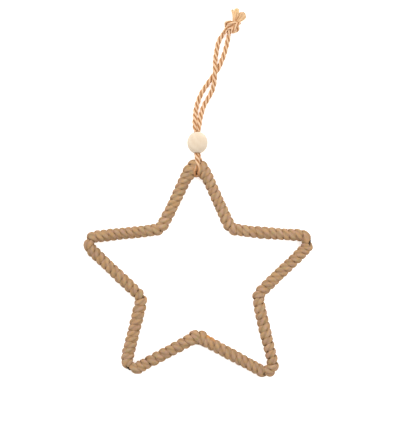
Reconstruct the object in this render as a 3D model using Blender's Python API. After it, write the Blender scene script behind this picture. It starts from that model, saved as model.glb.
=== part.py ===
"""A jute star ornament, lying flat with its hanging loop laid out beyond its top point.

One steel wire is bent into a five-pointed star and wound all round with one jute rope. A twine
passes round the star's top point, runs through a wooden bead and ends in an overhand knot with
frayed ends. Units are metres, +Z is up and the star's top point is towards +Y.
"""
import math

import bmesh
import bpy
from mathutils import Matrix, Vector

# Room left between pieces that touch
ROOM = 0.0003

# Star, measured to the corners where the middle lines of its legs would cross
POINT_RADIUS = 0.1256
NOTCH_RADIUS = 0.0596
CORNER_COUNT = 10
TOP_CORNER = 5
# How far bending by hand moved each corner off the even star, from the lower middle notch round
# by the right
HAND_BENT = [
    (-0.0015, 0.0),
    (0.0045, -0.0009),
    (0.0007, -0.0003),
    (-0.0002, 0.0012),
    (-0.0026, -0.0014),
    (-0.0016, -0.0029),
    (-0.0026, -0.0006),
    (-0.0003, -0.0003),
    (-0.0002, -0.0026),
    (-0.0022, 0.0030),
]

# Wire and the rope wound on it
WIRE_DIAMETER = 0.002
WIRE_SIDES = 6
ROPE_WIDTH = 0.006
ROPE_PRESSED = 0.00515
GROOVE_DEPTH = 0.0013
WINDING_SIDES = 8
ROWS_PER_TURN = 3
# Inner radius that the winding keeps at a point, at the top point and in a notch
CROTCH = 0.001
TOP_CROTCH = 0.0021
NOTCH_SPARE = 0.0006
# Turns of rope from each point to the next, from the lower right point round by the right one
TURNS = [24, 23, 23, 23, 23]
# How far along the wire each gap at a point lies from the point's middle, and how far the turns
# beside it are pushed away from it
GAP_SHIFTS = [-0.0044, -0.0004, -0.0006, 0.0002, 0.0010]
POINT_PARTING = 0.0011
# Lump where the rope's two ends are glued down, how far it sits to the right of the lower middle
# notch, and the wire's wider bend there
JOIN_BULGE = 0.0012
JOIN_REACH = 0.006
JOIN_OFFSET = 0.0015
JOIN_SPARE = 0.003

# Twine, and how much of its thickness is left in the bead and in the loop round the top point
TWINE_DIAMETER = 0.004
TWINE_SIDES_RESOLUTION = 2
IN_BEAD = 0.65
IN_HITCH = 0.9
# How far the twine sinks between the two turns of rope that flank the top point
TWINE_SUNK = 0.00315
ROUTE_STEPS = 2

# Bead: its length is that of the full ball, before the hole cuts its ends off, and its middle lies
# beyond the top of the wire and a little to the right of it
BEAD_DIAMETER = 0.0202
BEAD_LENGTH = 0.021
BEAD_LIP = 0.0008
BEAD_RISE = 0.0235
BEAD_OFFSET = 0.0001
BEAD_ARC_STEPS = 8
BEAD_STEPS = 16

# Sides and rings of the rounded lengths that the knot is made of
KNOT_SIDES = 7
KNOT_RINGS = 4

# Sizes that follow from those above
WINDING_RADIUS = WIRE_DIAMETER / 2 + ROPE_PRESSED
# An eight-sided ring as large in area as the round one
WINDING_CORNER_RADIUS = WINDING_RADIUS * math.sqrt(
    2 * math.pi / (WINDING_SIDES * math.sin(2 * math.pi / WINDING_SIDES))
)
# What is left of a groove's depth beside the crest of a turn
CREST_LOSS = math.cos(math.pi / ROWS_PER_TURN) ** 3
WIRE_HEIGHT = (WINDING_CORNER_RADIUS - CREST_LOSS * GROOVE_DEPTH) * math.cos(math.pi / WINDING_SIDES)
BORE_RADIUS = (WIRE_DIAMETER / 2 + ROOM) / math.cos(math.pi / WIRE_SIDES)
TWINE_RADIUS = TWINE_DIAMETER / 2
BEAD_HEIGHT = BEAD_DIAMETER / 2
BEAD_BORE_RADIUS = TWINE_DIAMETER * IN_BEAD + 1.5 * ROOM
# Half the distance between the two strands in the bead
PAIR = TWINE_RADIUS * IN_BEAD + ROOM / 2

# Heights of the twine's middle: lying down, in the bead, and under and over the top point
LAID = TWINE_RADIUS + ROOM / 3
ABOARD = TWINE_DIAMETER + LAID + ROOM
UNDER = TWINE_RADIUS * IN_HITCH + ROOM / 3
OVER = WIRE_HEIGHT + WINDING_RADIUS + TWINE_RADIUS * IN_HITCH - TWINE_SUNK

# The twine's route: across and along from the top of the wire, height, and share of its thickness
TWINE_ROUTE = [
    (0.0268, 0.1326, LAID + 0.0011, 1.0),
    (0.0216, 0.1229, LAID, 1.0),
    (0.0187, 0.1069, LAID + 0.0004, 1.0),
    (0.0184, 0.0999, LAID + 0.0029, 1.0),
    (0.0182, 0.0919, ABOARD + 0.0001, 1.0),
    (0.0177, 0.0839, LAID + 0.0027, 1.0),
    (0.0158, 0.0759, LAID + 0.0003, 1.0),
    (0.0117, 0.0679, LAID, 1.0),
    (0.0077, 0.0609, LAID + 0.0009, 1.0),
    (0.0049, 0.0529, LAID + 0.0029, 1.0),
    (0.0030, 0.0449, BEAD_HEIGHT - 0.0023, 1.0),
    (0.0024, 0.0389, BEAD_HEIGHT - 0.0005, 0.95),
    (BEAD_OFFSET + 1.10 * PAIR, 0.0334, BEAD_HEIGHT, IN_BEAD),
    (BEAD_OFFSET + 0.91 * PAIR, 0.0239, BEAD_HEIGHT - 0.42 * PAIR, IN_BEAD),
    (BEAD_OFFSET + 0.64 * PAIR, 0.0144, BEAD_HEIGHT - 0.77 * PAIR, IN_BEAD),
    (0.0020, 0.0094, WIRE_HEIGHT + 0.0004, IN_HITCH),
    (0.0030, 0.0044, UNDER + 0.0012, IN_HITCH),
    (0.0035, -0.0021, UNDER, IN_HITCH),
    (0.0028, -0.0071, UNDER + 0.0006, IN_HITCH),
    (0.0012, -0.0093, WIRE_HEIGHT, IN_HITCH),
    (-0.0002, -0.0076, OVER - 0.0012, IN_HITCH),
    (-0.0003, -0.0021, OVER, IN_HITCH),
    (-0.0002, 0.0044, OVER + 0.0002, IN_HITCH),
    (-0.0006, 0.0094, BEAD_HEIGHT + 0.0017, IN_HITCH),
    (BEAD_OFFSET - 0.64 * PAIR, 0.0144, BEAD_HEIGHT + 0.77 * PAIR, IN_BEAD),
    (BEAD_OFFSET - 0.91 * PAIR, 0.0239, BEAD_HEIGHT + 0.42 * PAIR, IN_BEAD),
    (BEAD_OFFSET - 1.10 * PAIR, 0.0334, BEAD_HEIGHT, IN_BEAD),
    (-0.0018, 0.0389, BEAD_HEIGHT - 0.0005, 0.95),
    (-0.0016, 0.0449, BEAD_HEIGHT - 0.0023, 1.0),
    (-0.0012, 0.0529, LAID + 0.0029, 1.0),
    (0.0005, 0.0619, LAID + 0.0006, 1.0),
    (0.0042, 0.0714, LAID, 1.0),
    (0.0094, 0.0799, LAID, 1.0),
    (0.0206, 0.0959, LAID, 1.0),
    (0.0250, 0.1049, LAID, 1.0),
    (0.0279, 0.1129, LAID, 1.0),
    (0.0303, 0.1219, LAID, 1.0),
    (0.0323, 0.1309, LAID + 0.0011, 1.0),
]

# The knot's rounded lengths: each goes through these places, with the radius at each. Places are
# across and along from the top of the wire, and height. The risers start at the twine's ends
KNOT_LENGTHS = {
    "left_riser": [(0.0302, 0.1377, 0.0045, 0.0024)],
    "right_riser": [(0.0334, 0.1348, 0.0042, 0.0022)],
    "crown": [(0.0308, 0.1423, 0.0064, 0.0024), (0.0384, 0.1411, 0.0064, 0.0023)],
    "core": [(0.0320, 0.1372, 0.0044, 0.0035), (0.0370, 0.1373, 0.0044, 0.0036)],
    "coil": [
        (0.0403, 0.1416, 0.0056, 0.0021),
        (0.0405, 0.1373, 0.0052, 0.0023),
        (0.0378, 0.1344, 0.0044, 0.0021),
        (0.0340, 0.1344, 0.0040, 0.0020),
    ],
    "neck": [(0.0390, 0.1416, 0.0050, 0.0031), (0.0392, 0.1470, 0.0046, 0.0028)],
    "left_tuft": [(0.0383, 0.1480, 0.0044, 0.0014), (0.0362, 0.1556, 0.0028, 0.0013)],
    "middle_tuft": [(0.0394, 0.1480, 0.0046, 0.0020), (0.0406, 0.1548, 0.0038, 0.0025)],
    "right_tuft": [(0.0402, 0.1460, 0.0046, 0.0022), (0.0456, 0.1508, 0.0040, 0.0034)],
}


def clear_scene():
    """Remove whatever the open file holds."""
    for old in list(bpy.data.objects):
        bpy.data.objects.remove(old, do_unlink=True)


def material(name, colour, roughness, metallic=0.0):
    """A Principled BSDF material."""
    made = bpy.data.materials.new(name)
    made.use_nodes = True
    shader = made.node_tree.nodes["Principled BSDF"]
    shader.inputs["Base Color"].default_value = (*colour, 1.0)
    shader.inputs["Roughness"].default_value = roughness
    shader.inputs["Metallic"].default_value = metallic
    return made


def add_object(name, data, finish=None):
    """Link new object data into the scene, with its finish."""
    made = bpy.data.objects.new(name, data)
    bpy.context.scene.collection.objects.link(made)
    if finish is not None:
        data.materials.append(finish)
    return made


def mesh_from(name, work, sharp_degrees=40.0):
    """Turn a finished bmesh into smooth-shaded mesh data."""
    bmesh.ops.recalc_face_normals(work, faces=work.faces)
    data = bpy.data.meshes.new(name)
    work.to_mesh(data)
    work.free()
    data.shade_smooth()
    data.set_sharp_from_angle(angle=math.radians(sharp_degrees))
    return data


def make_cutter(name, data):
    """A guide that only cuts other pieces."""
    cutter = add_object(name, data)
    cutter.hide_render = True
    cutter.display_type = "WIRE"
    return cutter


def combine(target, tool, operation):
    """Cut one object with another, or join it on."""
    step = target.modifiers.new(f"{operation.lower()}_{tool.name}", "BOOLEAN")
    step.operation = operation
    step.solver = "EXACT"
    step.object = tool


def star_corners():
    """The ten corners of the hand-bent star, from the lower middle notch round by the right."""
    corners = []
    for i, (across, along) in enumerate(HAND_BENT):
        radius = POINT_RADIUS if i % 2 else NOTCH_RADIUS
        angle = math.radians(-90 + 360 / CORNER_COUNT * i)
        corners.append(Vector((radius * math.cos(angle) + across, radius * math.sin(angle) + along)))
    return corners


def bend_radius(corner):
    """Radius of the wire's middle line at a corner, so that the winding never folds into itself."""
    if corner == 0:
        return WINDING_CORNER_RADIUS + JOIN_BULGE + JOIN_SPARE
    if corner == TOP_CORNER:
        return WINDING_CORNER_RADIUS + TOP_CROTCH
    return WINDING_CORNER_RADIUS + (CROTCH if corner % 2 else NOTCH_SPARE)


class StarLine:
    """The wire's closed middle line: bends and straight legs in turn, from the join's bend on."""

    def __init__(self, corners):
        count = len(corners)
        headings = []
        for i in range(count):
            leg = corners[(i + 1) % count] - corners[i]
            headings.append(math.atan2(leg.y, leg.x))
        turns = []
        for i in range(count):
            turns.append((headings[i] - headings[i - 1] + math.pi) % (2 * math.pi) - math.pi)
        trims = [bend_radius(i) * math.tan(abs(turns[i]) / 2) for i in range(count)]
        self.pieces = []
        self.bend_middles = []
        self.length = 0.0
        for i in range(count):
            start_heading = headings[i] - turns[i]
            start = corners[i] - trims[i] * Vector((math.cos(start_heading), math.sin(start_heading)))
            arc = bend_radius(i) * abs(turns[i])
            self.bend_middles.append(self.length + arc / 2)
            self.add_piece(start, start_heading, arc, turns[i] / arc)
            end = corners[i] + trims[i] * Vector((math.cos(headings[i]), math.sin(headings[i])))
            leg_length = (corners[(i + 1) % count] - corners[i]).length - trims[i] - trims[(i + 1) % count]
            self.add_piece(end, headings[i], leg_length, 0.0)

    def add_piece(self, start, heading, length, curvature):
        """Add a stretch of even curvature, 0 for a straight leg and positive to the left."""
        self.pieces.append((self.length, start, heading, length, curvature))
        self.length += length

    def at(self, distance):
        """Point and direction at a distance along the line."""
        distance %= self.length
        piece = max((p for p in self.pieces if p[0] <= distance), key=lambda p: p[0])
        begun, start, heading, _, curvature = piece
        run = distance - begun
        now = heading + curvature * run
        if curvature == 0.0:
            point = start + run * Vector((math.cos(heading), math.sin(heading)))
        else:
            point = start + Vector(
                (math.sin(now) - math.sin(heading), math.cos(heading) - math.cos(now))
            ) / curvature
        return point, Vector((math.cos(now), math.sin(now)))

    def ring(self, distance, angle, radius):
        """A place round the line: 0 is towards the star's inside, a quarter turn on is up."""
        point, direction = self.at(distance)
        inward = Vector((-direction.y, direction.x)) * radius * math.cos(angle)
        return Vector((point.x + inward.x, point.y + inward.y, WIRE_HEIGHT + radius * math.sin(angle)))

    def stations(self, bend_step_degrees=36.0):
        """Distances at which a tube along the line needs a ring."""
        found = []
        for begun, _, _, length, curvature in self.pieces:
            steps = max(1, math.ceil(math.degrees(abs(curvature) * length) / bend_step_degrees))
            found += [begun + length * step / steps for step in range(steps)]
        return found


def centred_star():
    """The star's line with its outline centred on the origin."""
    corners = star_corners()
    rough = StarLine(corners)
    places = [rough.at(distance)[0] for distance in rough.stations(6.0)]
    middle = Vector(
        (
            (max(p.x for p in places) + min(p.x for p in places)) / 2,
            (max(p.y for p in places) + min(p.y for p in places)) / 2,
        )
    )
    return StarLine([corner - middle for corner in corners])


def close_grid(work, rows, shift=0):
    """Join closed rings of vertices to the next ring, and the last to the first, a shift of rows on
    where the ring closes."""
    sides = len(rows[0])
    for i, row in enumerate(rows):
        following = rows[(i + 1) % len(rows)]
        for j in range(sides - 1):
            work.faces.new((row[j], row[j + 1], following[j + 1], following[j]))
        low = rows[(i + shift) % len(rows)]
        high = rows[(i + 1 + shift) % len(rows)]
        work.faces.new((row[-1], low[0], high[0], following[-1]))


def ring_tube(name, line, radius):
    """A closed tube all along the star's line."""
    work = bmesh.new()
    rows = []
    for distance in line.stations():
        angles = [2 * math.pi * side / WIRE_SIDES for side in range(WIRE_SIDES)]
        rows.append([work.verts.new(line.ring(distance, angle, radius)) for angle in angles])
    close_grid(work, rows)
    return mesh_from(name, work)


class Winding:
    """Where each turn of rope sits: whole turns from the gap at one point of the star to the gap at
    the next, and the turns beside each gap pushed apart."""

    def __init__(self, line):
        self.line = line
        self.starts = []
        self.turns = 0
        self.gaps = [middle + shift for middle, shift in zip(line.bend_middles[1::2], GAP_SHIFTS)]
        for i, begun in enumerate(self.gaps):
            length = (self.gaps[(i + 1) % len(self.gaps)] - begun) % line.length
            self.starts.append((self.turns, begun, length, TURNS[i]))
            self.turns += TURNS[i]

    def distance(self, turn):
        """Distance along the star's line of a place given in turns from the first gap."""
        turn %= self.turns
        first, begun, length, count = max(s for s in self.starts if s[0] <= turn)
        along = turn - first
        pushed = self.parting(along) - self.parting(count - along)
        return begun + length * along / count + pushed

    def parting(self, turns_away):
        """How far a turn is pushed off a gap: most for the two turns beside it."""
        reach = 2 * turns_away
        return POINT_PARTING * reach * math.exp(1 - reach)

    def bulge(self, distance, angle):
        """How much thicker the winding is near the rope's glued ends, inside the star and on top."""
        middle = self.line.bend_middles[0] + JOIN_OFFSET
        away = abs((distance - middle + self.line.length / 2) % self.line.length - self.line.length / 2)
        facing = max(0.0, math.cos(angle - math.pi / 4))
        return JOIN_BULGE * facing * math.exp(-((away / JOIN_REACH) ** 2))


def make_rope_wrap(line):
    """The wound rope as one lobed sleeve, open to the wire at the points and pressed in by the
    twine at the top one."""
    winding = Winding(line)
    work = bmesh.new()
    rows = []
    for row in range(winding.turns * ROWS_PER_TURN):
        across_turn = (row % ROWS_PER_TURN) / ROWS_PER_TURN
        groove = GROOVE_DEPTH * abs(math.cos(math.pi * across_turn)) ** 3
        ring = []
        for side in range(WINDING_SIDES):
            share = (side + 0.5) / WINDING_SIDES
            angle = 2 * math.pi * share
            distance = winding.distance(row / ROWS_PER_TURN + share - 0.5)
            radius = WINDING_CORNER_RADIUS - groove + winding.bulge(distance, angle)
            ring.append(work.verts.new(line.ring(distance, angle, radius)))
        rows.append(ring)
    close_grid(work, rows, shift=ROWS_PER_TURN)
    rope = add_object(
        "rope_wrap", mesh_from("rope_wrap", work), material("jute_rope", (0.48, 0.31, 0.17), 0.9)
    )
    combine(rope, make_cutter("wire_bore", ring_tube("wire_bore", line, BORE_RADIUS)), "DIFFERENCE")
    combine(rope, make_cutter("point_gaps", point_gaps(line, winding.gaps)), "DIFFERENCE")
    return rope


def gap_outline(bend):
    """Half the outline of the gap at a point, forward and sideways from the middle of the bend: from
    beside the wire, past the turn that flanks the gap and out over its rounded shoulder."""
    flank = (ROPE_WIDTH / 2 + POINT_PARTING) / bend
    ahead = Vector((math.cos(flank), math.sin(flank)))
    aside = Vector((math.sin(flank), -math.cos(flank)))
    turn_radius = ROPE_WIDTH / 2
    turn_middle = ahead * (bend + WINDING_CORNER_RADIUS - turn_radius)
    shoulder = turn_middle + turn_radius * (ahead + aside) / math.sqrt(2)
    crest = turn_middle + (turn_radius + ROOM) * ahead
    beyond = crest + turn_radius * ahead
    return [turn_middle + turn_radius * aside, shoulder, crest, beyond]


def point_gaps(line, middles):
    """Gaps between the two turns that fan out round each point, in to the wire."""
    work = bmesh.new()
    for i, middle in enumerate(middles):
        bend = bend_radius(2 * i + 1)
        point, direction = line.at(middle)
        sideways = Vector((direction.x, direction.y, 0))
        outward = Vector((direction.y, -direction.x, 0))
        floor_middle = Vector((point.x, point.y, -ROPE_WIDTH)) - bend * outward
        half = gap_outline(bend)
        outline = [Vector((bend - BORE_RADIUS - ROOM, 0.0)), *half]
        outline += [Vector((place.x, -place.y)) for place in reversed(half)]
        below = [work.verts.new(floor_middle + outward * p.x + sideways * p.y) for p in outline]
        floor = work.faces.new(below)
        raised = bmesh.ops.extrude_face_region(work, geom=[floor])["geom"]
        lifted = [item for item in raised if isinstance(item, bmesh.types.BMVert)]
        bmesh.ops.translate(work, verts=lifted, vec=Vector((0, 0, 2 * (WIRE_HEIGHT + ROPE_WIDTH))))
    return mesh_from("point_gaps", work)


def smooth_value(along, before, here, there, beyond):
    """Value at a share of the way from here to there on a smooth curve through all four."""
    leaving = (there - before) / 2
    arriving = (beyond - here) / 2
    bend = 3 * (there - here) - 2 * leaving - arriving
    twist = leaving + arriving - 2 * (there - here)
    return here + leaving * along + bend * along**2 + twist * along**3


def smooth_route(origin):
    """Places and thickness shares along a smooth curve through the twine's route."""
    route = [(*(origin + Vector(stop[:3])), stop[3]) for stop in TWINE_ROUTE]
    route = [route[0], *route, route[-1]]
    smooth = []
    for i in range(1, len(route) - 2):
        for step in range(ROUTE_STEPS):
            along = step / ROUTE_STEPS
            smooth.append([smooth_value(along, *values) for values in zip(*route[i - 1 : i + 3])])
    return smooth + [list(route[-1])]


def twine_curve(name, places, radius):
    """A round tube with filled ends along the twine's route."""
    curve = bpy.data.curves.new(name, "CURVE")
    curve.dimensions = "3D"
    curve.bevel_depth = radius
    curve.bevel_resolution = TWINE_SIDES_RESOLUTION
    curve.use_fill_caps = True
    spline = curve.splines.new("POLY")
    spline.points.add(len(places) - 1)
    for point, (x, y, z, share) in zip(spline.points, places):
        point.co = (x, y, z, 1.0)
        point.radius = share
    return curve


def make_twine(places, rope):
    """The hanging twine, and the channel that it presses into the rope round the top point."""
    add_object(
        "hanging_twine",
        twine_curve("hanging_twine", places, TWINE_RADIUS),
        material("twine", (0.79, 0.49, 0.25), 0.85),
    )
    guide = add_object("channel_guide", twine_curve("channel_guide", places, TWINE_RADIUS + ROOM / IN_HITCH))
    channel = bpy.data.meshes.new_from_object(guide.evaluated_get(bpy.context.evaluated_depsgraph_get()))
    bpy.data.objects.remove(guide, do_unlink=True)
    combine(rope, make_cutter("twine_channel", channel), "DIFFERENCE")


def make_bead(origin):
    """The turned wooden bead, its hole along the twine."""
    work = bmesh.new()
    half_width = BEAD_DIAMETER / 2
    start = math.asin((BEAD_BORE_RADIUS + BEAD_LIP) / half_width)
    profile = []
    for step in range(BEAD_ARC_STEPS + 1):
        angle = start + (math.pi - 2 * start) * step / BEAD_ARC_STEPS
        profile.append((half_width * math.sin(angle), BEAD_LENGTH / 2 * math.cos(angle)))
    mouth = profile[0][1] - BEAD_LIP / 2
    profile += [(BEAD_BORE_RADIUS, -mouth), (BEAD_BORE_RADIUS, mouth)]
    verts = [work.verts.new((radius, 0, height)) for radius, height in profile]
    edges = [work.edges.new((verts[i], verts[(i + 1) % len(verts)])) for i in range(len(verts))]
    bmesh.ops.spin(
        work,
        geom=verts + edges,
        cent=(0, 0, 0),
        axis=(0, 0, 1),
        angle=2 * math.pi,
        steps=BEAD_STEPS,
        use_merge=True,
    )
    bead = add_object("bead", mesh_from("bead", work, 50.0), material("bead_wood", (0.84, 0.73, 0.58), 0.55))
    bead.location = (origin.x + BEAD_OFFSET, origin.y + BEAD_RISE, BEAD_HEIGHT)
    bead.rotation_euler = (math.radians(-90), 0, 0)


def add_ball(work, place, radius):
    """Add a low round ball to a bmesh."""
    bmesh.ops.create_uvsphere(
        work,
        u_segments=KNOT_SIDES,
        v_segments=KNOT_RINGS,
        radius=radius,
        matrix=Matrix.Translation(place),
    )


def hulled(name, work):
    """Make a guide of the closed body that wraps round everything in a bmesh."""
    bmesh.ops.delete(work, geom=work.edges[:] + work.faces[:], context="EDGES_FACES")
    hull = bmesh.ops.convex_hull(work, input=work.verts)
    inside = [item for item in hull["geom_interior"] if isinstance(item, bmesh.types.BMVert)]
    bmesh.ops.delete(work, geom=inside, context="VERTS")
    return make_cutter(name, mesh_from(name, work))


def rounded_lengths(name, chain):
    """A closed body round each pair of neighbouring places in a chain, with their radii."""
    parts = []
    for i in range(len(chain) - 1):
        work = bmesh.new()
        for place, radius in chain[i : i + 2]:
            add_ball(work, place, radius)
        parts.append(hulled(f"{name}_{i + 1}", work))
    return parts


def riser(name, end, inner, place, radius):
    """The knot's length that takes up one end of the twine, facing it."""
    tip = Vector(end[:3])
    forward = (tip - Vector(inner[:3])).normalized()
    work = bmesh.new()
    facing = forward.to_track_quat("Z", "Y").to_matrix().to_4x4()
    bmesh.ops.create_circle(
        work,
        segments=KNOT_SIDES,
        radius=TWINE_RADIUS,
        matrix=Matrix.Translation(tip + forward * ROOM) @ facing,
    )
    add_ball(work, place, radius)
    return hulled(name, work)


def make_knot(origin, places):
    """The overhand knot and its frayed tuft, joined into one body."""
    parts = []
    for name, stops in KNOT_LENGTHS.items():
        chain = [(origin + Vector(stop[:3]), stop[3]) for stop in stops]
        if name == "left_riser":
            parts.append(riser(name, places[0], places[1], *chain[0]))
        elif name == "right_riser":
            parts.append(riser(name, places[-1], places[-2], *chain[0]))
        else:
            parts += rounded_lengths(name, chain)
    core = next(part for part in parts if part.name.startswith("core"))
    knot = add_object("twine_knot", core.data.copy(), material("knot_twine", (0.80, 0.52, 0.28), 0.9))
    for part in parts:
        if part is not core:
            combine(knot, part, "UNION")


def make_ornament():
    """Build every piece of the ornament."""
    clear_scene()
    line = centred_star()
    add_object(
        "wire_frame",
        ring_tube("wire_frame", line, WIRE_DIAMETER / 2),
        material("steel_wire", (0.03, 0.03, 0.03), 0.45, 1.0),
    )
    rope = make_rope_wrap(line)
    top = line.at(line.bend_middles[TOP_CORNER])[0]
    origin = Vector((top.x, top.y, 0))
    places = smooth_route(origin)
    make_twine(places, rope)
    make_bead(origin)
    make_knot(origin, places)


make_ornament()
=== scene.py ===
"""The looks of a jute star ornament: the wound rope with its plies, the twisted twine loop with its
overhand knot and frayed tuft, the turned wooden bead and the dark wire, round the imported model."""

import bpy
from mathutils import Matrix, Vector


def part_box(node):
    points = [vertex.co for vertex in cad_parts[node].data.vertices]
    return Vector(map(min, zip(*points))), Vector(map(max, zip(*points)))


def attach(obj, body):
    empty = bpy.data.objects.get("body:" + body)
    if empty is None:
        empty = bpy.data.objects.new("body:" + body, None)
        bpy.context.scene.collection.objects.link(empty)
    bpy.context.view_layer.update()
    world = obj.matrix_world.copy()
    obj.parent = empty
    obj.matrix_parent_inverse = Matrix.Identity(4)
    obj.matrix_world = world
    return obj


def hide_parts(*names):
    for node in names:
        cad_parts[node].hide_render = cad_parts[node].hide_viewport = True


bl_info = {
    "name": "Jute star ornament",
    "version": (1, 0, 0),
    "blender": (4, 5, 0),
    "location": "View3D > Sidebar > Jute star",
    "description": "Dresses the jute star ornament with its rope, twine, bead and wire",
    "category": "Object",
}

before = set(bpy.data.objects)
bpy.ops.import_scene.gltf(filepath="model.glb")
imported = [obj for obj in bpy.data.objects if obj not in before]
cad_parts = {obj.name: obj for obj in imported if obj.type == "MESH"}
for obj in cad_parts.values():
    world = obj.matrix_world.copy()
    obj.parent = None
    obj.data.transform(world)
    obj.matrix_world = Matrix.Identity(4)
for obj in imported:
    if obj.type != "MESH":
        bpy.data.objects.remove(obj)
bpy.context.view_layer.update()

import math

import bmesh
import bpy
import numpy as np
from bpy.props import FloatProperty, FloatVectorProperty, IntProperty, PointerProperty
from mathutils import Matrix, Vector

UP = np.array((0.0, 0.0, 1.0))
MM = 0.001
# Least height that the rope and the twine, and loose fibres, keep above the surface
LIE_AT = 0.00005
FIBRES_AT = 0.0002
# Seeds of the random draws
WINDING_SEED = 5
ROPE_FIBRES_SEED = 8
TWINE_FIBRES_SEED = 3
TUFT_SEED = 11
# The photograph's middle, and its pixel at the middle of the star's box, at 1 mm to the pixel
PHOTO_MIDDLE = (200, 216)
PIXEL_OF_ORIGIN = (197.9, 268.7)
# Faint hues that jute has in blotches, as shares of its own colour
MOTTLED_HUES = {"Red": (0.84, 1.0, 0.62), "Green": (1.08, 0.88, 1.08), "Blue": (1.22, 1.0, 0.6)}
# How finely the meshes are divided, and how many fibres are added at once
CURVE_STEPS = 40
PLY_SIDES = 8
WIRE_RINGS = 900
WIRE_SIDES = 10
STRAY_RINGS = 7
FIBRE_SIDES = 3
FIBRES_AT_ONCE = 60
TUFT_STEP = 0.0012
ROPE_END_STEP = 0.0006
BEAD_RINGS = 30
BEAD_SPOKES = 72
LIP_ANGLES = (0.4, 0.8, 1.2)
# Half the floor's width, and how far it lies below the ornament
FLOOR_HALF = 1.5
FLOOR_BELOW = 0.0002
# Lights: name, place, size and power
LIGHTS = [
    ("soft_key", (-0.45, 0.9, 1.0), 0.9, 12.0),
    ("soft_fill", (0.42, 0.0, 0.6), 0.4, 1.8),
]

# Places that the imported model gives
WIRE_LOW, WIRE_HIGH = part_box("wire_frame")
BEAD_LOW, BEAD_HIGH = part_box("bead")
# The bead in the photo is a little longer and wider than the solid, lies nearer to the star and
# further right, and its hole tilts up at the star's end
BEAD_SHIFT = 0.0007
BEAD_BROADER = 0.0002
BEAD_ENDS = (-0.0014, -0.0002)
BEAD_LOW += Vector((BEAD_SHIFT - BEAD_BROADER, BEAD_ENDS[0], 0))
BEAD_HIGH += Vector((BEAD_SHIFT + BEAD_BROADER, BEAD_ENDS[1], 0))
BEAD_TILT = math.radians(5)
WIRE_HEIGHT = (WIRE_LOW.z + WIRE_HIGH.z) / 2
BEAD_MIDDLE = (BEAD_LOW + BEAD_HIGH) / 2
BEAD_DIAMETER = BEAD_HIGH.z - BEAD_LOW.z
BEAD_WIDER = (BEAD_HIGH.x - BEAD_LOW.x) / BEAD_DIAMETER
BEAD_LENGTH = BEAD_HIGH.y - BEAD_LOW.y

# Star, as in the solids: corners where the middle lines of the wire's legs would cross, from the
# lower middle notch round by the right, and how far bending by hand moved each off the even star
POINT_RADIUS = 0.1256
NOTCH_RADIUS = 0.0596
TOP_CORNER = 5
HAND_BENT = [
    (-0.0015, 0.0), (0.0045, -0.0009), (0.0007, -0.0003), (-0.0002, 0.0012), (-0.0026, -0.0014),
    (-0.0016, -0.0029), (-0.0026, -0.0006), (-0.0003, -0.0003), (-0.0002, -0.0026),
    (-0.0022, 0.0030),
]
WIRE_DIAMETER = 0.002
ROPE_WIDTH = 0.006
ROPE_PRESSED = 0.00515
WINDING_CORNER_RADIUS = 0.00648
POINT_BEND = WINDING_CORNER_RADIUS + 0.0010
TOP_BEND = WINDING_CORNER_RADIUS + 0.0021
NOTCH_BEND = WINDING_CORNER_RADIUS + 0.0006
JOIN_BEND = WINDING_CORNER_RADIUS + 0.0042

# Where the rope's turns lie, in mm along the wire from the middle of the lower notch. A whole turn
# faces the star's inside and a half one its outside; the gaps at the points are at 0, 24, 47, 70
# and 93, and the rope's ends meet at -13
TURN_PLACES = [
    (-14.5, -12.7), (-14.0, -9.6), (-13.0, -1.9), (-12.0, 4.6), (-11.0, 9.2), (-10.5, 11.9),
    (-7.5, 30.4), (-4.5, 48.9), (-1.5, 67.2), (-0.5, 73.2), (0.0, 79.0), (0.5, 81.2), (1.5, 87.2),
    (2.5, 94.2), (6.5, 121.5), (10.5, 148.2), (13.5, 170.4), (17.5, 195.3), (22.5, 225.9),
    (23.5, 230.5), (24.5, 242.1), (25.5, 248.6), (29.5, 274.6), (33.5, 301.7), (37.5, 328.9),
    (41.5, 353.1), (45.5, 377.9), (46.5, 383.8), (47.5, 392.4), (48.5, 399.4), (52.5, 423.6),
    (56.5, 448.9), (60.5, 476.1), (64.5, 501.3), (68.5, 525.9), (69.5, 532.3), (70.5, 543.9),
    (71.5, 549.4), (75.5, 574.7), (79.5, 601.1), (83.5, 628.8), (87.5, 654.1), (91.5, 677.4),
    (92.5, 683.6), (93.5, 697.0), (94.5, 700.9), (97.5, 722.5), (101.5, 750.4), (102.0, 753.8),
    (103.0, 761.5), (104.0, 767.6),
]

# How far the hand-bent wire bows out of the line through its corners: mm along it, mm outwards
WIRE_BOWS = [
    (0, 0.0), (24, 0.0), (60, 0.0), (84, 0.0), (100, 0.3), (120, 0.2), (144, 0.6), (158, 1.7),
    (170, 1.0), (192, 0.8), (216, 0.9), (230, 0.3), (240, -0.1), (252, -0.2), (264, -0.55),
    (288, -0.55), (300, -0.2), (313, 0.7), (324, 0.1), (376, 0.1), (388, 0.2), (400, -0.4),
    (412, -0.55), (444, -0.75), (458, 0.0), (468, -0.25), (480, -0.7), (504, -0.45), (528, -0.5),
    (540, -0.2), (552, -0.25), (612, -0.25), (624, -0.6), (648, -0.57), (672, -0.4), (686, -0.5),
    (697, 0.7), (732, 0.6), (752, 0.5),
]

# Where the rope is wound looser, so that the star is thicker there: mm along it, mm outwards
WOUND_LOOSER = [
    (0, 0.25), (30, 0.15), (60, 0.05), (90, 0.0), (612, 0.0), (624, 0.32), (680, 0.32), (692, 0.05),
    (740, 0.1),
]

# The winding's first and last turn
ROPE_START = -12.3
ROPE_END = 103.45
# Angles of the mesh's lines on each ply, in degrees from its groove
PLY_LINES = (0, 13, 35, 60, 85, 107)
# A turn's width as a share of its room: on the star's inside and outside, how much more it is on
# top and underneath, and the most it may be of the rope's own width
TURN_WIDTH = 1.08
TURN_WIDER = 0.24
TURN_MOST = 1.04
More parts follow.
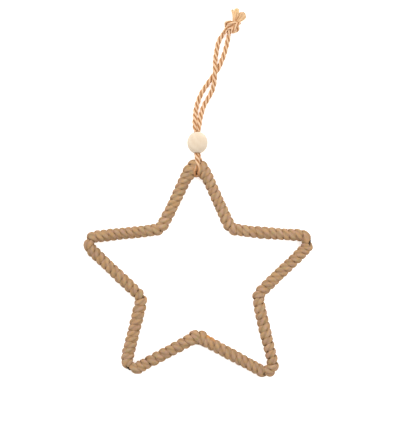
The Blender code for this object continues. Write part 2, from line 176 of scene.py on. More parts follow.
# A turn is fuller than an ellipse: the powers of its width and of its height
FULL_ACROSS = 0.92
FULL_UP = 0.90
# Turns within which the rope's place, its thickness and its tint change at random
PLACE_TURNS = 1.3
SWELL_TURNS = 0.9
TINT_TURNS = 1.0
# Where dried glue colours the winding's inner side, and how many turns to each side that reaches
GLUED_TURN = -10.6
GLUE_REACH = 0.9

# The gaps at the points, where the wire is bent more sharply: mm along it, mm outwards, and how far
# along the wire the sharper bend reaches
WIRE_CORNERS = [(77.5, 1.3), (236.4, 2.5), (537.9, 1.0), (688.8, 2.0)]
CORNER_REACH = 0.0045

# How much of a turn to each side a loose place reaches
LOOSE_REACH = 0.22
# Turns that lie out of line: the turn, how much further out, and how much wider towards the turn
# before it and towards the next one
LOOSE_TURNS = [
    (102.1, 0.0006, 0.0, 0.0010), (103.0, 0.0014, 0.0012, 0.0006), (-12.0, 0.0016, 0.0010, 0.0006),
    (-0.75, 0.0, 0.0, 0.0014), (0.25, 0.0, 0.0006, 0.0), (0.5, 0.0, -0.0006, 0.0),
    (23.2, 0.0, 0.0, 0.0009), (23.5, 0.0, 0.0, -0.0012), (24.2, 0.0, 0.0018, 0.0),
    (24.5, -0.0004, -0.0007, 0.0), (69.25, 0.0, 0.0, 0.0018), (69.5, -0.0004, 0.0, -0.0008),
    (70.2, 0.0, 0.0018, 0.0), (70.5, -0.0010, -0.0006, 0.0), (91.5, -0.0004, 0.0, 0.0),
    (92.25, 0.0, 0.0, 0.0018), (92.5, -0.0010, 0.0, -0.0008), (93.2, 0.0, 0.0010, 0.0),
    (93.5, 0.0002, -0.0014, 0.0), (45.0, 0.0014, 0.0, 0.0), (46.0, 0.0024, 0.0006, 0.0006),
    (46.3, 0.0, 0.0, 0.0014), (46.5, 0.0003, 0.0, 0.0), (47.0, 0.0014, 0.0, 0.0),
    (47.25, 0.0, 0.0008, 0.0008), (47.5, 0.0004, 0.0, 0.0003), (48.0, 0.0024, 0.0, 0.0006),
    (48.4, 0.0, 0.0004, 0.0), (49.0, 0.0014, 0.0, 0.0),
]

# Twine, as in the solids
TWINE_DIAMETER = 0.004
TWINE_RADIUS = TWINE_DIAMETER / 2
IN_BEAD = 0.65
IN_HITCH = 0.9
PAIR = 0.00145
BEAD_OFFSET = 0.0001
BEAD_HEIGHT = BEAD_MIDDLE.z
LAID = 0.0021
ABOARD = 0.0064
UNDER = 0.0019
OVER = 0.01064

# The twine's route: across and along from the top of the wire, height, and share of its thickness
TWINE_ROUTE = [
    (0.0268, 0.1326, LAID + 0.0011, 1.0), (0.0216, 0.1229, LAID, 1.0),
    (0.0187, 0.1069, LAID + 0.0004, 1.0), (0.0184, 0.0999, LAID + 0.0029, 1.0),
    (0.0182, 0.0919, ABOARD + 0.0001, 1.0), (0.0177, 0.0839, LAID + 0.0027, 1.0),
    (0.0158, 0.0759, LAID + 0.0003, 1.0), (0.0117, 0.0679, LAID, 1.0),
    (0.0077, 0.0609, LAID + 0.0009, 1.0), (0.0049, 0.0529, LAID + 0.0029, 1.0),
    (0.0030, 0.0449, BEAD_HEIGHT - 0.0023, 1.0), (0.0024, 0.0389, BEAD_HEIGHT - 0.0005, 0.95),
    (BEAD_OFFSET + 1.10 * PAIR, 0.0334, BEAD_HEIGHT, IN_BEAD),
    (BEAD_OFFSET + 0.91 * PAIR, 0.0239, BEAD_HEIGHT - 0.42 * PAIR, IN_BEAD),
    (BEAD_OFFSET + 0.64 * PAIR, 0.0144, BEAD_HEIGHT - 0.77 * PAIR, IN_BEAD),
    (0.0020, 0.0094, WIRE_HEIGHT + 0.0004, IN_HITCH), (0.0030, 0.0044, UNDER + 0.0012, IN_HITCH),
    (0.0035, -0.0021, UNDER, IN_HITCH), (0.0028, -0.0071, UNDER + 0.0006, IN_HITCH),
    (0.0012, -0.0093, WIRE_HEIGHT, IN_HITCH), (-0.0002, -0.0076, OVER - 0.0012, IN_HITCH),
    (-0.0003, -0.0021, OVER, IN_HITCH), (-0.0002, 0.0044, OVER + 0.0002, IN_HITCH),
    (-0.0006, 0.0094, BEAD_HEIGHT + 0.0017, IN_HITCH),
    (BEAD_OFFSET - 0.64 * PAIR, 0.0144, BEAD_HEIGHT + 0.77 * PAIR, IN_BEAD),
    (BEAD_OFFSET - 0.91 * PAIR, 0.0239, BEAD_HEIGHT + 0.42 * PAIR, IN_BEAD),
    (BEAD_OFFSET - 1.10 * PAIR, 0.0334, BEAD_HEIGHT, IN_BEAD),
    (-0.0018, 0.0389, BEAD_HEIGHT - 0.0005, 0.95), (-0.0016, 0.0449, BEAD_HEIGHT - 0.0023, 1.0),
    (-0.0012, 0.0529, LAID + 0.0029, 1.0), (0.0005, 0.0619, LAID + 0.0006, 1.0),
    (0.0042, 0.0714, LAID, 1.0), (0.0094, 0.0799, LAID, 1.0), (0.0206, 0.0959, LAID, 1.0),
    (0.0250, 0.1049, LAID, 1.0), (0.0279, 0.1129, LAID, 1.0), (0.0303, 0.1219, LAID, 1.0),
    (0.0323, 0.1309, LAID + 0.0011, 1.0),
]

# Where the twine is fuller than the solid: along from the top of the wire, reach, and how much
TWINE_FULLER = [(0.0005, 0.012, 0.18), (0.0440, 0.011, 0.09)]
# Its thickness as a share of the solid's, how much less at the knot, and how far that reaches
TWINE_PLUMP = 1.13
KNOT_TAPER = 0.15
KNOT_REACH = 0.004
# Over the top point: the middle of it along the twine, its reach, how high over the wire's middle
# it starts, and where the twine leaves it for the bead
HITCH_MIDDLE = -0.003
HITCH_REACH = 0.009
HITCH_ABOVE = 0.0004
HITCH_END = 0.0134
# Stretches, each with its middle, its reach and its power: where the twine lies to the right, and
# # how far; where its twist rests; where painted shade darkens it; and where the bead takes it along
ASIDE_THERE = (0.002, 0.009, 4)
TWINE_ASIDE = 0.0012
SLACK_THERE = (-0.0058, 0.0052, 4)
DARK_THERE = (-0.0098, 0.0035, 2)
BEAD_THERE = (0.0239, 0.0115, 6)
# Reach of the painted shade at each mouth of the bead's hole
MOUTH_REACH = 0.0011
# Where the plies start to open, how far on they are open, and how far they then lie aside and part
OPEN_FROM = 0.0014
OPEN_WITHIN = 0.0068
OPENED_ASIDE = 0.0002
OPENED_APART = 0.0010

# The plies of a strand: their radius, and how far they lie from its middle, as shares of its radius
PLY_RADIUS = 0.60
PLY_OFFSET = 0.56

# The knot's strands: across and along from the top of the wire, height, and share of thickness
KNOT_STRANDS = {
    "left_leg": [
        (0.0268, 0.1326, 0.0034, 1.0), (0.0287, 0.1347, 0.0034, 1.0), (0.0308, 0.1360, 0.0026, 1.0),
        (0.0338, 0.1382, 0.0026, 0.95), (0.0368, 0.1411, 0.0036, 0.9),
        (0.0379, 0.1446, 0.0046, 0.85),
    ],
    "right_leg": [
        (0.0323, 0.1313, 0.0034, 1.0), (0.0328, 0.1336, 0.0038, 1.0), (0.0339, 0.1358, 0.0034, 1.0),
        (0.0367, 0.1382, 0.0032, 0.95), (0.0393, 0.1412, 0.0042, 0.9),
        (0.0402, 0.1444, 0.0048, 0.85),
    ],
    "crown": [
        (0.0319, 0.1407, 0.0025, 1.0), (0.0297, 0.1416, 0.0043, 1.0), (0.0300, 0.1429, 0.0062, 1.0),
        (0.0328, 0.1429, 0.0070, 1.0), (0.0362, 0.1423, 0.0070, 1.0), (0.0389, 0.1414, 0.0063, 1.0),
        (0.0405, 0.1397, 0.0056, 1.0), (0.0408, 0.1372, 0.0050, 1.0), (0.0397, 0.1353, 0.0044, 1.0),
        (0.0375, 0.1344, 0.0038, 1.0), (0.0357, 0.1347, 0.0030, 1.0),
    ],
    "crown_lower": [
        (0.0318, 0.1384, 0.0023, 1.0), (0.0299, 0.1394, 0.0036, 1.0),
        (0.0309, 0.1406, 0.0050, 0.95), (0.0338, 0.1405, 0.0055, 0.95),
        (0.0369, 0.1397, 0.0052, 0.95), (0.0383, 0.1382, 0.0044, 0.95),
        (0.0379, 0.1364, 0.0034, 0.95),
    ],
    "belt": [
        (0.0299, 0.1347, 0.0022, 1.0), (0.0293, 0.1364, 0.0034, 1.0),
        (0.0312, 0.1376, 0.0049, 0.95), (0.0339, 0.1375, 0.0052, 0.95),
        (0.0362, 0.1364, 0.0047, 0.95), (0.0362, 0.1344, 0.0034, 0.95),
    ],
    "slant": [
        (0.0428, 0.1432, 0.0036, 0.9), (0.0420, 0.1422, 0.0056, 0.9), (0.0406, 0.1406, 0.0069, 0.9),
        (0.0386, 0.1382, 0.0068, 0.9), (0.0365, 0.1357, 0.0058, 0.9), (0.0348, 0.1338, 0.0042, 0.9),
    ],
}

# Loose fibres: least and most that one leaves the strand by, least and most length along it, how
# far it curls aside, how deep it starts, and its radius
STRAY_REACH = (0.0004, 0.0013)
STRAY_LENGTH = (0.0020, 0.0045)
STRAY_CURL = 0.0012
STRAY_ROOT = 0.0002
STRAY_RADIUS = 0.00006

# The frayed tuft's locks lie flat: their height as a share of their width, their fibres' least and
# most radius, how much of its lock's radius a fibre bows by, and a fibre's least height
TUFT_FLATNESS = 0.33
TUFT_FIBRES = (0.00018, 0.00030)
TUFT_BOW = 0.12
TUFT_AT = 0.0003
# Reach of a streak of painted shade, as a share of the lock's radius
STREAK_REACH = 0.24
# The locks: stops as above with the lock's radius last, how much shorter its outer fibres are as a
# # share of that, fibres, share of pale ones, and how far to the right of its middle its streak of
# # painted shade lies, as a share of its radius
TUFT_LOCKS = [
    (
        [
            (0.0372, 0.1434, 0.0044, 0.00120), (0.0369, 0.1470, 0.0048, 0.00120),
            (0.0369, 0.1500, 0.0046, 0.00120), (0.0366, 0.1524, 0.0040, 0.00140),
            (0.0360, 0.1548, 0.0034, 0.00140), (0.0356, 0.1570, 0.0030, 0.00120),
        ],
        1.0, 120, 0.1, 0.8,
    ),
    (
        [
            (0.0387, 0.1432, 0.0047, 0.00170), (0.0390, 0.1480, 0.0050, 0.00180),
            (0.0398, 0.1520, 0.0048, 0.00210), (0.0403, 0.1578, 0.0042, 0.00280),
        ],
        0.6, 220, 0.9, 0.2,
    ),
    (
        [
            (0.0401, 0.1432, 0.0046, 0.00160), (0.0420, 0.1456, 0.0050, 0.00270),
            (0.0448, 0.1489, 0.0052, 0.00410), (0.0478, 0.1534, 0.0050, 0.00480),
        ],
        0.8, 560, 0.1, -0.6,
    ),
]

# The rope's ends, glued down at the lower notch, and the turns bunched inside the top point: stops
# as for the twine
ROPE_ENDS = [
    [
        (0.0040, -0.1722, 0.0084, 0.7), (0.0054, -0.1696, 0.0082, 0.75),
        (0.0072, -0.1684, 0.0078, 0.72), (0.0094, -0.1681, 0.0074, 0.66),
    ],
    [
        (-0.0102, -0.1787, 0.0050, 0.45), (-0.0062, -0.1782, 0.0055, 0.58),
        (0.0002, -0.1770, 0.0055, 0.62), (0.0048, -0.1782, 0.0055, 0.6),
        (0.0093, -0.1810, 0.0050, 0.45),
    ],
    [
        (-0.0072, -0.0103, 0.0060, 0.6), (-0.0030, -0.0094, 0.0066, 0.72),
        (0.0014, -0.0090, 0.0070, 0.74), (0.0054, -0.0095, 0.0066, 0.7),
        (0.0094, -0.0108, 0.0060, 0.55),
    ],
]


def linear(code):
    """Linear colour of an sRGB hex value."""
    parts = [int(code[i : i + 2], 16) / 255 for i in (0, 2, 4)]
    return tuple(p / 12.92 if p <= 0.04045 else ((p + 0.055) / 1.055) ** 2.4 for p in parts)


def length_setting(name, description, default):
    """A size that a user can change."""
    return FloatProperty(
        name=name, description=description, default=default, min=0.0, unit="LENGTH", precision=5
    )


def share_setting(name, description, default):
    """A share or a strength that a user can change."""
    return FloatProperty(name=name, description=description, default=default)


def colour_setting(name, description, code):
    """A colour that a user can change."""
    return FloatVectorProperty(
        name=name,
        description=description,
        default=linear(code),
        size=3,
        min=0.0,
        max=1.0,
        subtype="COLOR",
    )


class RopeSettings(bpy.types.PropertyGroup):
    """Sizes and colours of the wound jute rope"""

    lay: length_setting("Lay", "Length in which a ply goes once round the rope", 0.0174)
    ply_groove: share_setting("Ply groove", "Depth of the groove between plies, as a share", 0.26)
    plump: share_setting("Plump", "Thickness with loose fibres, as a share of the solid's", 1.04)
    wander: length_setting("Wander", "How far a turn strays from its place", 0.0003)
    rows: IntProperty(name="Rows", description="Rings of the mesh in each turn", default=36)
    strays: IntProperty(name="Strays", description="Loose fibres on the rope", default=520)
    colour: colour_setting("Jute", "Colour of the fibres on top", "AC9074")
    # Painted shade: darker colour for the grooves between plies and the crevices between turns
    groove_shade_colour: colour_setting("Groove", "Colour deep between plies and turns", "826242")
    # Painted shade on the winding's sides, darker than its top, and also the tint of its blotches
    side_shade_and_blotch_colour: colour_setting("Edge", "Warmer colour of the fibres on the sides", "9B6E42")
    glue_colour: colour_setting("Glue", "Tint of the dried glue on the ends", "C98432")


class TwineSettings(bpy.types.PropertyGroup):
    """Sizes and colours of the hanging twine, its knot and its tuft"""

    lay: length_setting("Lay", "Length in which a ply goes once round the twine", 0.0190)
    step: length_setting("Step", "Distance between the mesh's rings", 0.0008)
    strays: IntProperty(name="Strays", description="Loose fibres on the twine", default=110)
    colour: colour_setting("Twine", "Colour of the twine's fibres", "E6C3A1")
    # Painted shade: darker colour for the twine's ply grooves, its shaded stretches and the seams of
    # the tuft
    groove_shade_colour: colour_setting("Groove", "Colour deep between the plies", "B07A4B")
    tuft_colour: colour_setting("Tuft", "Paler colour of the frayed fibres", "FFD5AA")
    pale_colour: colour_setting("Palest", "Colour of the palest fibres' ends", "FBE39A")


class BeadSettings(bpy.types.PropertyGroup):
    """Sizes and colours of the wooden bead"""

    bore: length_setting("Bore", "Diameter of the hole", 0.0062)
    lip: length_setting("Lip", "Rounding where the hole meets the ball", 0.0006)
    colour: colour_setting("Wood", "Colour of the pale wood", "E3D4BF")
    grain_colour: colour_setting("Grain", "Colour of the grain lines", "D9C6AC")


class StageSettings(bpy.types.PropertyGroup):
    """Camera, light and floor"""

    distance: length_setting("Distance", "Height of the camera above the wire", 1.6)
    frame_height: length_setting("Frame height", "Height of what the camera sees there", 0.432)
    floor_colour: colour_setting("Floor", "Colour of the plain floor", "F7F7F7")
    floor_glow: share_setting("Floor glow", "Light that the floor gives, as a light table", 0.55)
    room_light: share_setting("Room light", "Light from all round", 0.62)


def set_values(node, values):
    """Set a node's sockets to values."""
    for name, value in values.items():
        node.inputs[name].default_value = value


def add_node(tree, kind, settings=None, values=None, links=None):
    """Add a node to a tree, with its settings, its sockets' values and its links."""
    node = tree.nodes.new(kind)
    for name, value in (settings or {}).items():
        setattr(node, name, value)
    set_values(node, values or {})
    for name, output in (links or {}).items():
        tree.links.new(output, node.inputs[name])
    return node


def new_surface(name, values):
    """A material, its node tree and its Principled shader, set to values."""
    made = bpy.data.materials.new(name)
    made.use_nodes = True
    shader = made.node_tree.nodes["Principled BSDF"]
    set_values(shader, values)
    return made, made.node_tree, shader


def noise(tree, vector, scale, detail, roughness=0.5):
    """A noise texture along a vector."""
    values = {"Scale": scale, "Detail": detail, "Roughness": roughness}
    return add_node(tree, "ShaderNodeTexNoise", values=values, links={"Vector": vector})


def spread_out(tree, value, low, high, most=1.0):
    """Map a value from between low and high to between 0 and most."""
    values = {"From Min": low, "From Max": high, "To Max": most}
    node = add_node(tree, "ShaderNodeMapRange", values=values, links={"Value": value})
    return node.outputs["Result"]


def times(tree, value, factor):
    """A value, multiplied."""
    node = add_node(tree, "ShaderNodeMath", {"operation": "MULTIPLY"}, {1: factor}, {0: value})
    return node.outputs["Value"]


def scaled(tree, vector, scale):
    """A vector, scaled."""
    node = add_node(tree, "ShaderNodeMapping", values={"Scale": scale}, links={"Vector": vector})
    return node.outputs["Vector"]


def attribute(tree, name):
    """The mesh's attribute of a name."""
    return add_node(tree, "ShaderNodeAttribute", {"attribute_name": name})


def raise_surface(tree, shader, height, strength, distance):
    """Bump a shader's surface by a height."""
    values = {"Strength": strength, "Distance": distance}
    bump = add_node(tree, "ShaderNodeBump", values=values, links={"Height": height})
    tree.links.new(bump.outputs["Normal"], shader.inputs["Normal"])


def mix_colour(tree, share, first, second):
    """Mix two colours; each of the three may be a plain value or another node's output."""
    node = add_node(tree, "ShaderNodeMix", {"data_type": "RGBA"})
    for number, value in ((0, share), (6, first), (7, second)):
        socket = node.inputs[number]
        if isinstance(value, bpy.types.NodeSocket):
            tree.links.new(value, socket)
        elif isinstance(value, float):
            socket.default_value = value
        else:
            socket.default_value = (*value, 1.0)
    return node.outputs[2]


def fibre_surface(name, colour, groove, edge, glue, fibre_mm, contrast, mottling):
    """Twisted jute. Its fibres are drawn about as coarse as yarns, so that they show from a step
    away. The attribute unlaid holds each place on the straightened cord, and shade holds painted
    shade where it lies deep between plies or turns, its turn's own tint, and a share of the edge
    colour, which on the winding is painted shade on its sides."""
    matt = {"Roughness": 0.88, "IOR": 1.5, "Specular IOR Level": 0.2}
    made, tree, shader = new_surface(name, matt)
    unlaid = attribute(tree, "unlaid").outputs["Vector"]
    shade = attribute(tree, "shade").outputs["Color"]
    parts = add_node(tree, "ShaderNodeSeparateColor", links={"Color": shade}).outputs
    stretched = scaled(tree, unlaid, (1 / fibre_mm, 1 / fibre_mm, 0.35 / fibre_mm))
    fibres = noise(tree, stretched, 1.0, 5.0, 0.7).outputs["Fac"]
    blotches = noise(tree, unlaid, 0.22, 2.0).outputs["Fac"]
    mottled = noise(tree, unlaid, 0.42, 1.0).outputs["Color"]
    hues = add_node(tree, "ShaderNodeSeparateColor", links={"Color": mottled}).outputs
    dark = tuple((1 - contrast) * part for part in colour)
    light = tuple(min(1.0, (1 + 0.7 * contrast) * part) for part in colour)
    base = mix_colour(tree, spread_out(tree, fibres, 0.3, 0.68), dark, light)
    # Blue share: on the winding, painted shade on its turns' sides; on the tuft, its pale ends; on
    # the twine, an even darker tone
    base = mix_colour(tree, times(tree, parts["Blue"], 0.9), base, edge)
    for channel, hue in MOTTLED_HUES.items():
        grown = spread_out(tree, hues[channel], 0.48, 0.6, mottling)
        base = mix_colour(tree, grown, base, tuple(c * h for c, h in zip(colour, hue)))
    toned = mix_colour(tree, parts["Green"], tuple(0.86 * p for p in colour), light)
    base = mix_colour(tree, 0.35, base, toned)
    base = mix_colour(tree, spread_out(tree, blotches, 0.45, 0.8, 0.35), base, edge)
    # Red share: painted shade in the groove colour, deep between plies and turns and in other shaded
    # places
    base = mix_colour(tree, parts["Red"], base, groove)
    if glue is not None:
        base = mix_colour(tree, attribute(tree, "glue").outputs["Fac"], base, glue)
    tree.links.new(base, shader.inputs["Base Color"])
    raise_surface(tree, shader, fibres, 0.6, 0.0004)
    return made


def wood_surface(name, settings):
    """Pale unfinished hardwood, turned and sanded: fine grain along the hole, hardly any gloss."""
    sanded = {"Roughness": 0.7, "IOR": 1.45, "Specular IOR Level": 0.2, "Diffuse Roughness": 1.0}
    made, tree, shader = new_surface(name, sanded)
    place = add_node(tree, "ShaderNodeTexCoord")
    moved = add_node(
        tree,
        "ShaderNodeMapping",
        values={"Location": tuple(-v for v in BEAD_MIDDLE)},
        links={"Vector": place.outputs["Object"]},
    ).outputs["Vector"]
    pores = noise(tree, scaled(tree, moved, (900.0, 70.0, 900.0)), 1.0, 3.0).outputs["Fac"]
    rings = add_node(
        tree,
        "ShaderNodeTexWave",
        {"wave_type": "BANDS", "bands_direction": "DIAGONAL"},
        {"Scale": 60.0, "Distortion": 3.0, "Detail": 2.0, "Detail Scale": 1.2},
        {"Vector": moved},
    )
    wood, grain = tuple(settings.colour), tuple(settings.grain_colour)
    base = mix_colour(tree, times(tree, rings.outputs["Fac"], 0.35), wood, grain)
    base = mix_colour(tree, spread_out(tree, pores, 0.5, 0.75, 0.5), base, grain)
    tree.links.new(base, shader.inputs["Base Color"])
    raise_surface(tree, shader, pores, 0.12, 0.0002)
    return made


def wire_surface(name):
    """Dark annealed steel wire: a thin matt oxide skin with bare glints."""
    made, tree, shader = new_surface(name, {"Roughness": 0.42, "IOR": 1.5, "Metallic": 1.0})
    place = add_node(tree, "ShaderNodeTexCoord")
    skin = noise(tree, place.outputs["Object"], 700.0, 3.0)
    oxide, bare = linear("2A241F"), linear("6A5D50")
    base = mix_colour(tree, skin.outputs["Fac"], oxide, bare)
    tree.links.new(base, shader.inputs["Base Color"])
    return made


def steps(points):
    """Distances from each point to the next."""
    return np.linalg.norm(np.diff(points, axis=0), axis=1)


def run_along(lengths):
    """How far along each point lies, from the steps between them."""
    return np.concatenate(([0], np.cumsum(lengths)))


class StarLine:
    """The wire's closed middle line, as points along it and its heading there."""

    SAMPLES = 60000

    def __init__(self):
        corners = []
        for i, bent in enumerate(HAND_BENT):
            radius = POINT_RADIUS if i % 2 else NOTCH_RADIUS
            angle = math.radians(36 * i - 90)
            corners.append(np.array((radius * math.cos(angle), radius * math.sin(angle))) + bent)
        count = len(corners)
        legs = [corners[(i + 1) % count] - corners[i] for i in range(count)]
        headings = [math.atan2(leg[1], leg[0]) for leg in legs]
        turns = [headings[i] - headings[i - 1] for i in range(count)]
        turns = [(turn + math.pi) % math.tau - math.pi for turn in turns]
        bends = [POINT_BEND if i % 2 else NOTCH_BEND for i in range(count)]
        bends[0] = JOIN_BEND
        bends[TOP_CORNER] = TOP_BEND
        trims = [bends[i] * math.tan(abs(turns[i]) / 2) for i in range(count)]
        places, faced = [0.0], [headings[0] - turns[0]]
        self.bend_middles = []
        for i in range(count):
            arc = bends[i] * abs(turns[i])
            self.bend_middles.append(places[-1] + arc / 2)
            leg = math.hypot(*legs[i]) - trims[i] - trims[(i + 1) % count]
            places += [places[-1] + arc, places[-1] + arc + leg]
            faced += [faced[-1] + turns[i], faced[-1] + turns[i]]
        self.length = places[-1]
        self.places = np.linspace(0, self.length, self.SAMPLES)
        self.heading = np.interp(self.places, places, faced)
        step = self.length / (self.SAMPLES - 1)
        between = (self.heading[1:] + self.heading[:-1]) / 2
        start = corners[0] - trims[0] * np.array((math.cos(faced[0]), math.sin(faced[0])))
        self.across = start[0] + run_along(np.cos(between)) * step
        self.along = start[1] + run_along(np.sin(between)) * step
        for line in (self.across, self.along):
            line -= (line.min() + line.max()) / 2

    def at(self, distances, bowed=True):
        """Points on the line, at the wire's height, and directions towards the star's inside."""
        distances = np.asarray(distances) % self.length
        lines = (self.across, self.along, self.heading)
        x, y, heading = (np.interp(distances, self.places, line) for line in lines)
        points = np.stack((x, y, np.full_like(x, WIRE_HEIGHT)), axis=-1)
        inward = np.stack((-np.sin(heading), np.cos(heading), np.zeros_like(x)), axis=-1)
        if bowed:
            known, bows = np.array(WIRE_BOWS).T * MM
            from_notch = distances - self.bend_middles[0]
            bow = np.interp(from_notch, known, bows, period=self.length)
            points = points - bow[..., None] * inward
        return points, inward

    def top(self):
        """The top of the wire, on the surface that the star lies on."""
        point = self.at(self.bend_middles[TOP_CORNER], bowed=False)[0]
        return np.array((point[0], point[1], 0.0))


LINE = StarLine()
TOP = LINE.top()


def curve_between(here, there, leaving, arriving, share):
    """Places on a smooth curve from one place to the next, with its slopes at both."""
    bend = 3 * (there - here) - 2 * leaving - arriving
    twist = leaving + arriving - 2 * (there - here)
    return here + leaving * share + bend * share**2 + twist * share**3


def winding_distance(turns):
    """Distance along the star's line of the rope's turns, on a curve through their places."""
    known, places = np.array(TURN_PLACES).T
    slopes = np.gradient(places, known)
    index = np.clip(np.searchsorted(known, turns, side="right") - 1, 0, len(known) - 2)
    span = known[index + 1] - known[index]
    share = (turns - known[index]) / span
    leaving, arriving = slopes[index] * span, slopes[index + 1] * span
    found = curve_between(places[index], places[index + 1], leaving, arriving, share)
    return LINE.bend_middles[0] + found * MM


def wound_looser(distances):
    """How much further out the rope lies at distances along the star's line."""
    known, further = np.array(WOUND_LOOSER).T * MM
    return np.interp(distances - LINE.bend_middles[0], known, further, period=LINE.length)


def hump(places, middle, reach, power=2):
    """A smooth hump: 1 at its middle, 0 well beyond its reach. A higher power flattens its top."""
    return np.exp(-(((places - middle) / reach) ** power))


def placed(stops):
    """The stops, measured from the top of the wire, as places on the surface."""
    return [(*(TOP + stop[:3]), stop[3]) for stop in stops]


def smooth_line(stops, step):
    """Places along a smooth curve through the stops, an even step apart."""
    stops = np.array(stops, float)
    padded = np.vstack((stops[0], stops, stops[-1]))
    share = np.linspace(0, 1, CURVE_STEPS, endpoint=False)[:, None]
    fine = []
    for i in range(1, len(padded) - 2):
        before, here, there, beyond = padded[i - 1 : i + 3]
        leaving, arriving = (there - before) / 2, (beyond - here) / 2
        fine.append(curve_between(here, there, leaving, arriving, share))
    fine.append(padded[-1][None])
    fine = np.vstack(fine)
    run = run_along(steps(fine[:, :3]))
    count = max(4, round(run[-1] / step)) + 1
    wanted = np.linspace(0, run[-1], count)
    return np.stack([np.interp(wanted, run, values) for values in fine.T], axis=1)


def unit(vectors):
    """The vectors, each one long."""
    return vectors / np.linalg.norm(vectors, axis=-1, keepdims=True)


def side_axes(points):
    """Two directions square to a line at each point, carried along it without twisting."""
    ahead = unit(np.gradient(points, axis=0))
    across = np.zeros_like(ahead)
    start = np.cross(ahead[0], UP)
    if np.linalg.norm(start) < 0.1:
        start = np.cross(ahead[0], (1.0, 0.0, 0.0))
    across[0] = unit(start)
    for i in range(1, len(points)):
        carried = across[i - 1] - ahead[i] * np.dot(across[i - 1], ahead[i])
        across[i] = unit(carried)
    return across, np.cross(ahead, across)


def round_rings(middles, reach, first, second, around):
    """Rings round a line, at angles around it in the plane of two directions."""
    turned = np.cos(around)[None, :, None] * first[:, None]
    turned = turned + np.sin(around)[None, :, None] * second[:, None]
    return middles[:, None] + reach * turned


def angles(sides):
    """Even angles all round."""
    return math.tau * np.arange(sides) / sides


def mesh_of(name, work):
    """A mesh of a bmesh, which is used up."""
    data = bpy.data.meshes.new(name)
    work.to_mesh(data)
    work.free()
    return data


def shading(shape, deep, tint, sideways):
    """Shade of a tube's rings: painted shade where they lie deep, their tint, and a share of the
    edge colour, which on the winding is painted shade on its sides.
    """
    shade = np.zeros((*shape[:2], 4))
    for channel, values in enumerate((deep, tint, sideways)):
        shade[..., channel] = values
    return shade


class PieceMesh:
    """A mesh under way, made of grids that are rolled into tubes."""

    def __init__(self):
        self.work = bmesh.new()
        self.unlaid = self.work.verts.layers.float_vector.new("unlaid")
        self.shade = self.work.verts.layers.float_color.new("shade")
        self.glue = self.work.verts.layers.float.new("glue")

    def tube(self, rings, unlaid, shade, glue=None, closed=False):
        """Roll a grid into a tube through rings of places, and close its seam and its ends."""
        count, sides = rings.shape[:2]
        spans = count if closed else count - 1
        made = bmesh.ops.create_grid(self.work, x_segments=sides, y_segments=spans, size=0.5)
        seam, ends = [], []
        for vert in made["verts"]:
            column = round((vert.co.x + 0.5) * sides)
            row = round((vert.co.y + 0.5) * spans)
            if column in (0, sides) or (closed and row in (0, spans)):
                seam.append(vert)
            if row in (0, spans):
                ends.append(vert)
            column, row = column % sides, row % count
            vert.co = rings[row, column]
            vert[self.unlaid] = unlaid[row, column]
            vert[self.shade] = shade[row, column]
            if glue is not None:
                vert[self.glue] = glue[row, column]
        bmesh.ops.remove_doubles(self.work, verts=seam, dist=1e-7)
        if not closed:
            rims = {e for v in ends if v.is_valid for e in v.link_edges if e.is_boundary}
            bmesh.ops.holes_fill(self.work, edges=list(rims), sides=0)

    def add_fibres(self, fibres):
        """Add many thin tubes, a few at a time in a small mesh, which is faster."""
        for first in range(0, len(fibres), FIBRES_AT_ONCE):
            few = PieceMesh()
            for fibre in fibres[first : first + FIBRES_AT_ONCE]:
                few.tube(*fibre)
            data = mesh_of("few_fibres", few.work)
            self.work.from_mesh(data)
            bpy.data.meshes.remove(data)

    def finish(self, name, material, slot, replaced):
        """Turn it into an object that rides on the root body and stands for a solid."""
        bmesh.ops.recalc_face_normals(self.work, faces=self.work.faces)
        return finish_piece(name, self.work, material, replaced)


def finish_piece(name, work, material, replaced=None):
    """Make an object of a bmesh, with its finish and the solid that it replaces."""
    data = mesh_of(name, work)
    data.shade_smooth()
    data.materials.append(material)
    piece = bpy.data.objects.new(name, data)
    bpy.context.scene.collection.objects.link(piece)
    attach(piece, "root")
    if replaced:
        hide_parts(replaced)
    return piece


def lay_strand(mesh, places, radius, lay, tint, started=0.0, slack=None, spread=0.0, painted_shade=None):
    """Lay three plies, twisted to the left, along places that also hold a share of the strand's
    thickness. Where there is slack, from 0 to 1, the twist rests and two plies open on top. The
    last argument, from 0 to 1, is painted shade: where it is high the strand is painted darker."""
    points, share = places[:, :3], places[:, 3]
    across, up = side_axes(points)
    step = steps(points)
    run = run_along(step)
    twist = started - math.tau * run / lay
    ply_radius = PLY_RADIUS * radius * share
    offset = PLY_OFFSET * radius * share
    if slack is not None:
        rate = (1 - (slack[1:] + slack[:-1]) / 2) * step
        twist = -math.tau * run_along(rate) / lay
        loosest = int(np.argmax(slack))
        downward = math.atan2(-up[loosest, 2], -across[loosest, 2])
        twist += downward - twist[loosest]
        offset = offset + spread * slack
    around = angles(PLY_SIDES)
    for ply in range(3):
        turn = twist + math.tau * ply / 3
        outward = np.cos(turn)[:, None] * across + np.sin(turn)[:, None] * up
        beside = -np.sin(turn)[:, None] * across + np.cos(turn)[:, None] * up
        middle = points + offset[:, None] * outward
        rings = round_rings(middle, ply_radius[:, None, None], outward, beside, around)
        rings[..., 2] = np.maximum(rings[..., 2], LIE_AT)
        unlaid = np.zeros_like(rings)
        unlaid[..., 0] = 0.9 * np.cos(around)[None] + 3 * ply
        unlaid[..., 1] = 0.9 * np.sin(around)[None] + 5 * tint
        unlaid[..., 2] = run[:, None] / MM
        # Painted shade: each ply is darkened on its sides towards the other plies, and the whole
        # strand where the last argument asks for it
        deep = np.clip(1.1 * (1 - np.cos(around)) - 0.12, 0, 1)[None]
        if painted_shade is not None:
            deep = np.maximum(deep, 0.9 * painted_shade[:, None])
        tinted = 0.5 + 0.5 * np.sin(7 * tint + 2 * ply + run[:, None] / 0.011)
        mesh.tube(rings, unlaid, shading(rings.shape, deep, tinted, 0.25))


